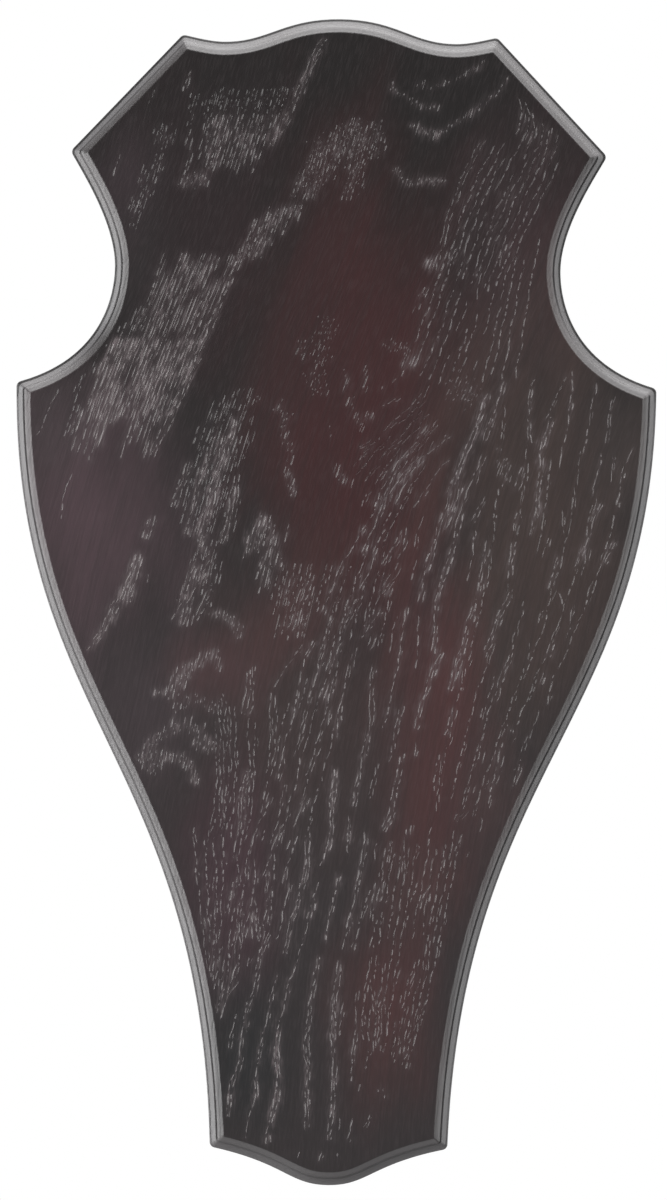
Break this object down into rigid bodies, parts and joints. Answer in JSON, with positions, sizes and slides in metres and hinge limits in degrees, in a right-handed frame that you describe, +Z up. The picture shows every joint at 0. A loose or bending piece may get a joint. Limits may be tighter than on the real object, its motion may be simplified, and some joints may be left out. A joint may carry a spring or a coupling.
{
  "type": "antler mounting plaque",
  "caption": "Shield-shaped dark oak board with an ogee-moulded front edge, hollowed neck and pointed foot, made to carry antlers on a wall.",
  "frame": {"origin": "middle of the flat back, halfway between the crest and the bottom tip, where the board meets the wall", "axes": "+Z up along the board's height, +Y out of the back into the wall, front faces -Y, +X to the right seen from the front"},
  "size_m": [0.1316, 0.015, 0.24],
  "materials": {
    "dark_oak": "dark stained open-grained oak under a satin lacquer"
  },
  "bodies": {
    "root": {"plaque_board": "dark_oak"}
  },
  "joints": []
}
